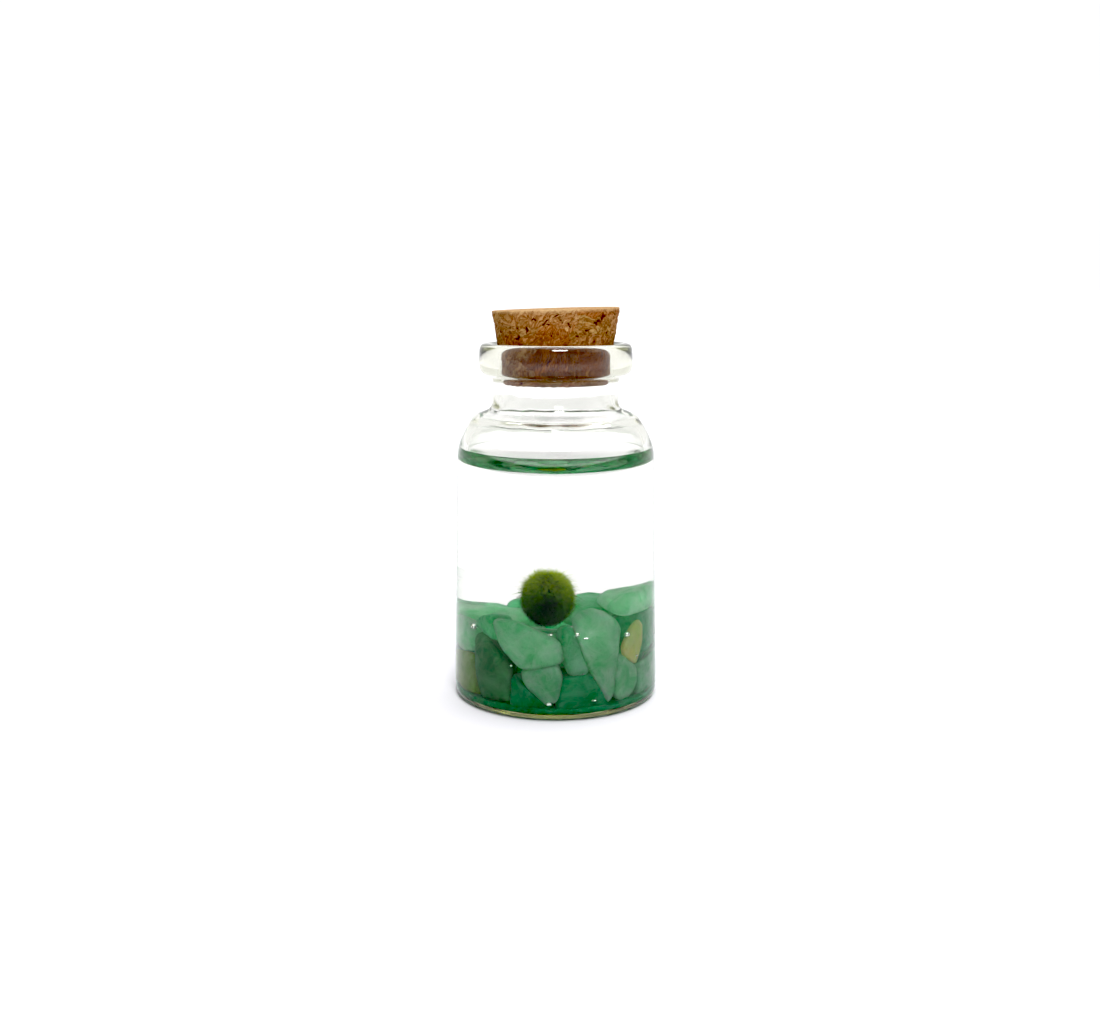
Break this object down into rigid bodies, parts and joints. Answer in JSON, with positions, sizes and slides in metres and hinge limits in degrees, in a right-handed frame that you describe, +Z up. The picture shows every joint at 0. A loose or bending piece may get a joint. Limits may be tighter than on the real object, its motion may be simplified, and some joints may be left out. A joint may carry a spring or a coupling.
{
  "type": "marimo moss ball in a corked jar",
  "caption": "Small moss ball resting on green tumbled stone chips under water, in a clear glass bottle closed with a tapered cork.",
  "frame": {"origin": "centre of the bottle's base, on the surface that it stands on", "axes": "+Z up along the bottle's axis to the cork, +X to the right and -Y to the front of the pictured view"},
  "size_m": [0.0222, 0.0222, 0.0419],
  "materials": {
    "bottle_glass": "clear moulded soda-lime glass, glossy",
    "cork": "agglomerated cork, matte, with dark pores",
    "water": "clear still water",
    "moss": "felted green alga filaments, matte",
    "aventurine_pale": "tumbled pale green aventurine, waxy and translucent",
    "aventurine_mid": "tumbled green aventurine, waxy and translucent",
    "aventurine_deep": "tumbled deep green aventurine, waxy and translucent",
    "aventurine_dark": "tumbled grey-green aventurine, waxy",
    "aventurine_olive": "tumbled olive aventurine, waxy",
    "aventurine_sand": "tumbled yellow-beige quartz, waxy and translucent"
  },
  "bodies": {
    "root": {"chip_01_left_pale": "aventurine_pale", "chip_02_left_olive": "aventurine_olive", "chip_03_dark": "aventurine_dark", "chip_04_small_mid": "aventurine_mid", "chip_05_large_pale": "aventurine_pale", "chip_06_lower_pale": "aventurine_pale", "chip_07_low_deep": "aventurine_deep", "chip_08_centre": "aventurine_mid", "chip_09_teal": "aventurine_deep", "chip_10_right_pale": "aventurine_pale", "chip_11_right_deep": "aventurine_deep", "chip_12_sand": "aventurine_sand", "chip_13_low_right": "aventurine_pale", "chip_14_right_edge": "aventurine_mid", "chip_15_right_top": "aventurine_pale", "chip_16_back": "aventurine_mid", "chip_17_back": "aventurine_pale", "chip_18_back": "aventurine_pale", "chip_19_back": "aventurine_deep", "chip_20_back": "aventurine_pale", "chip_21_back": "aventurine_mid", "chip_22_back": "aventurine_mid", "chip_23_back": "aventurine_pale", "chip_24_back": "aventurine_deep", "chip_25_upper_left": "aventurine_pale", "chip_26_upper_right": "aventurine_mid", "chip_27_under_ball": "aventurine_mid", "chip_28_mid_left": "aventurine_deep", "chip_29_mid_right": "aventurine_mid", "chip_30_core": "aventurine_deep", "chip_31_core_back": "aventurine_mid", "cork_stopper": "cork", "glass_bottle": "bottle_glass", "marimo_moss_ball": "moss", "water": "water"}
  },
  "joints": []
}
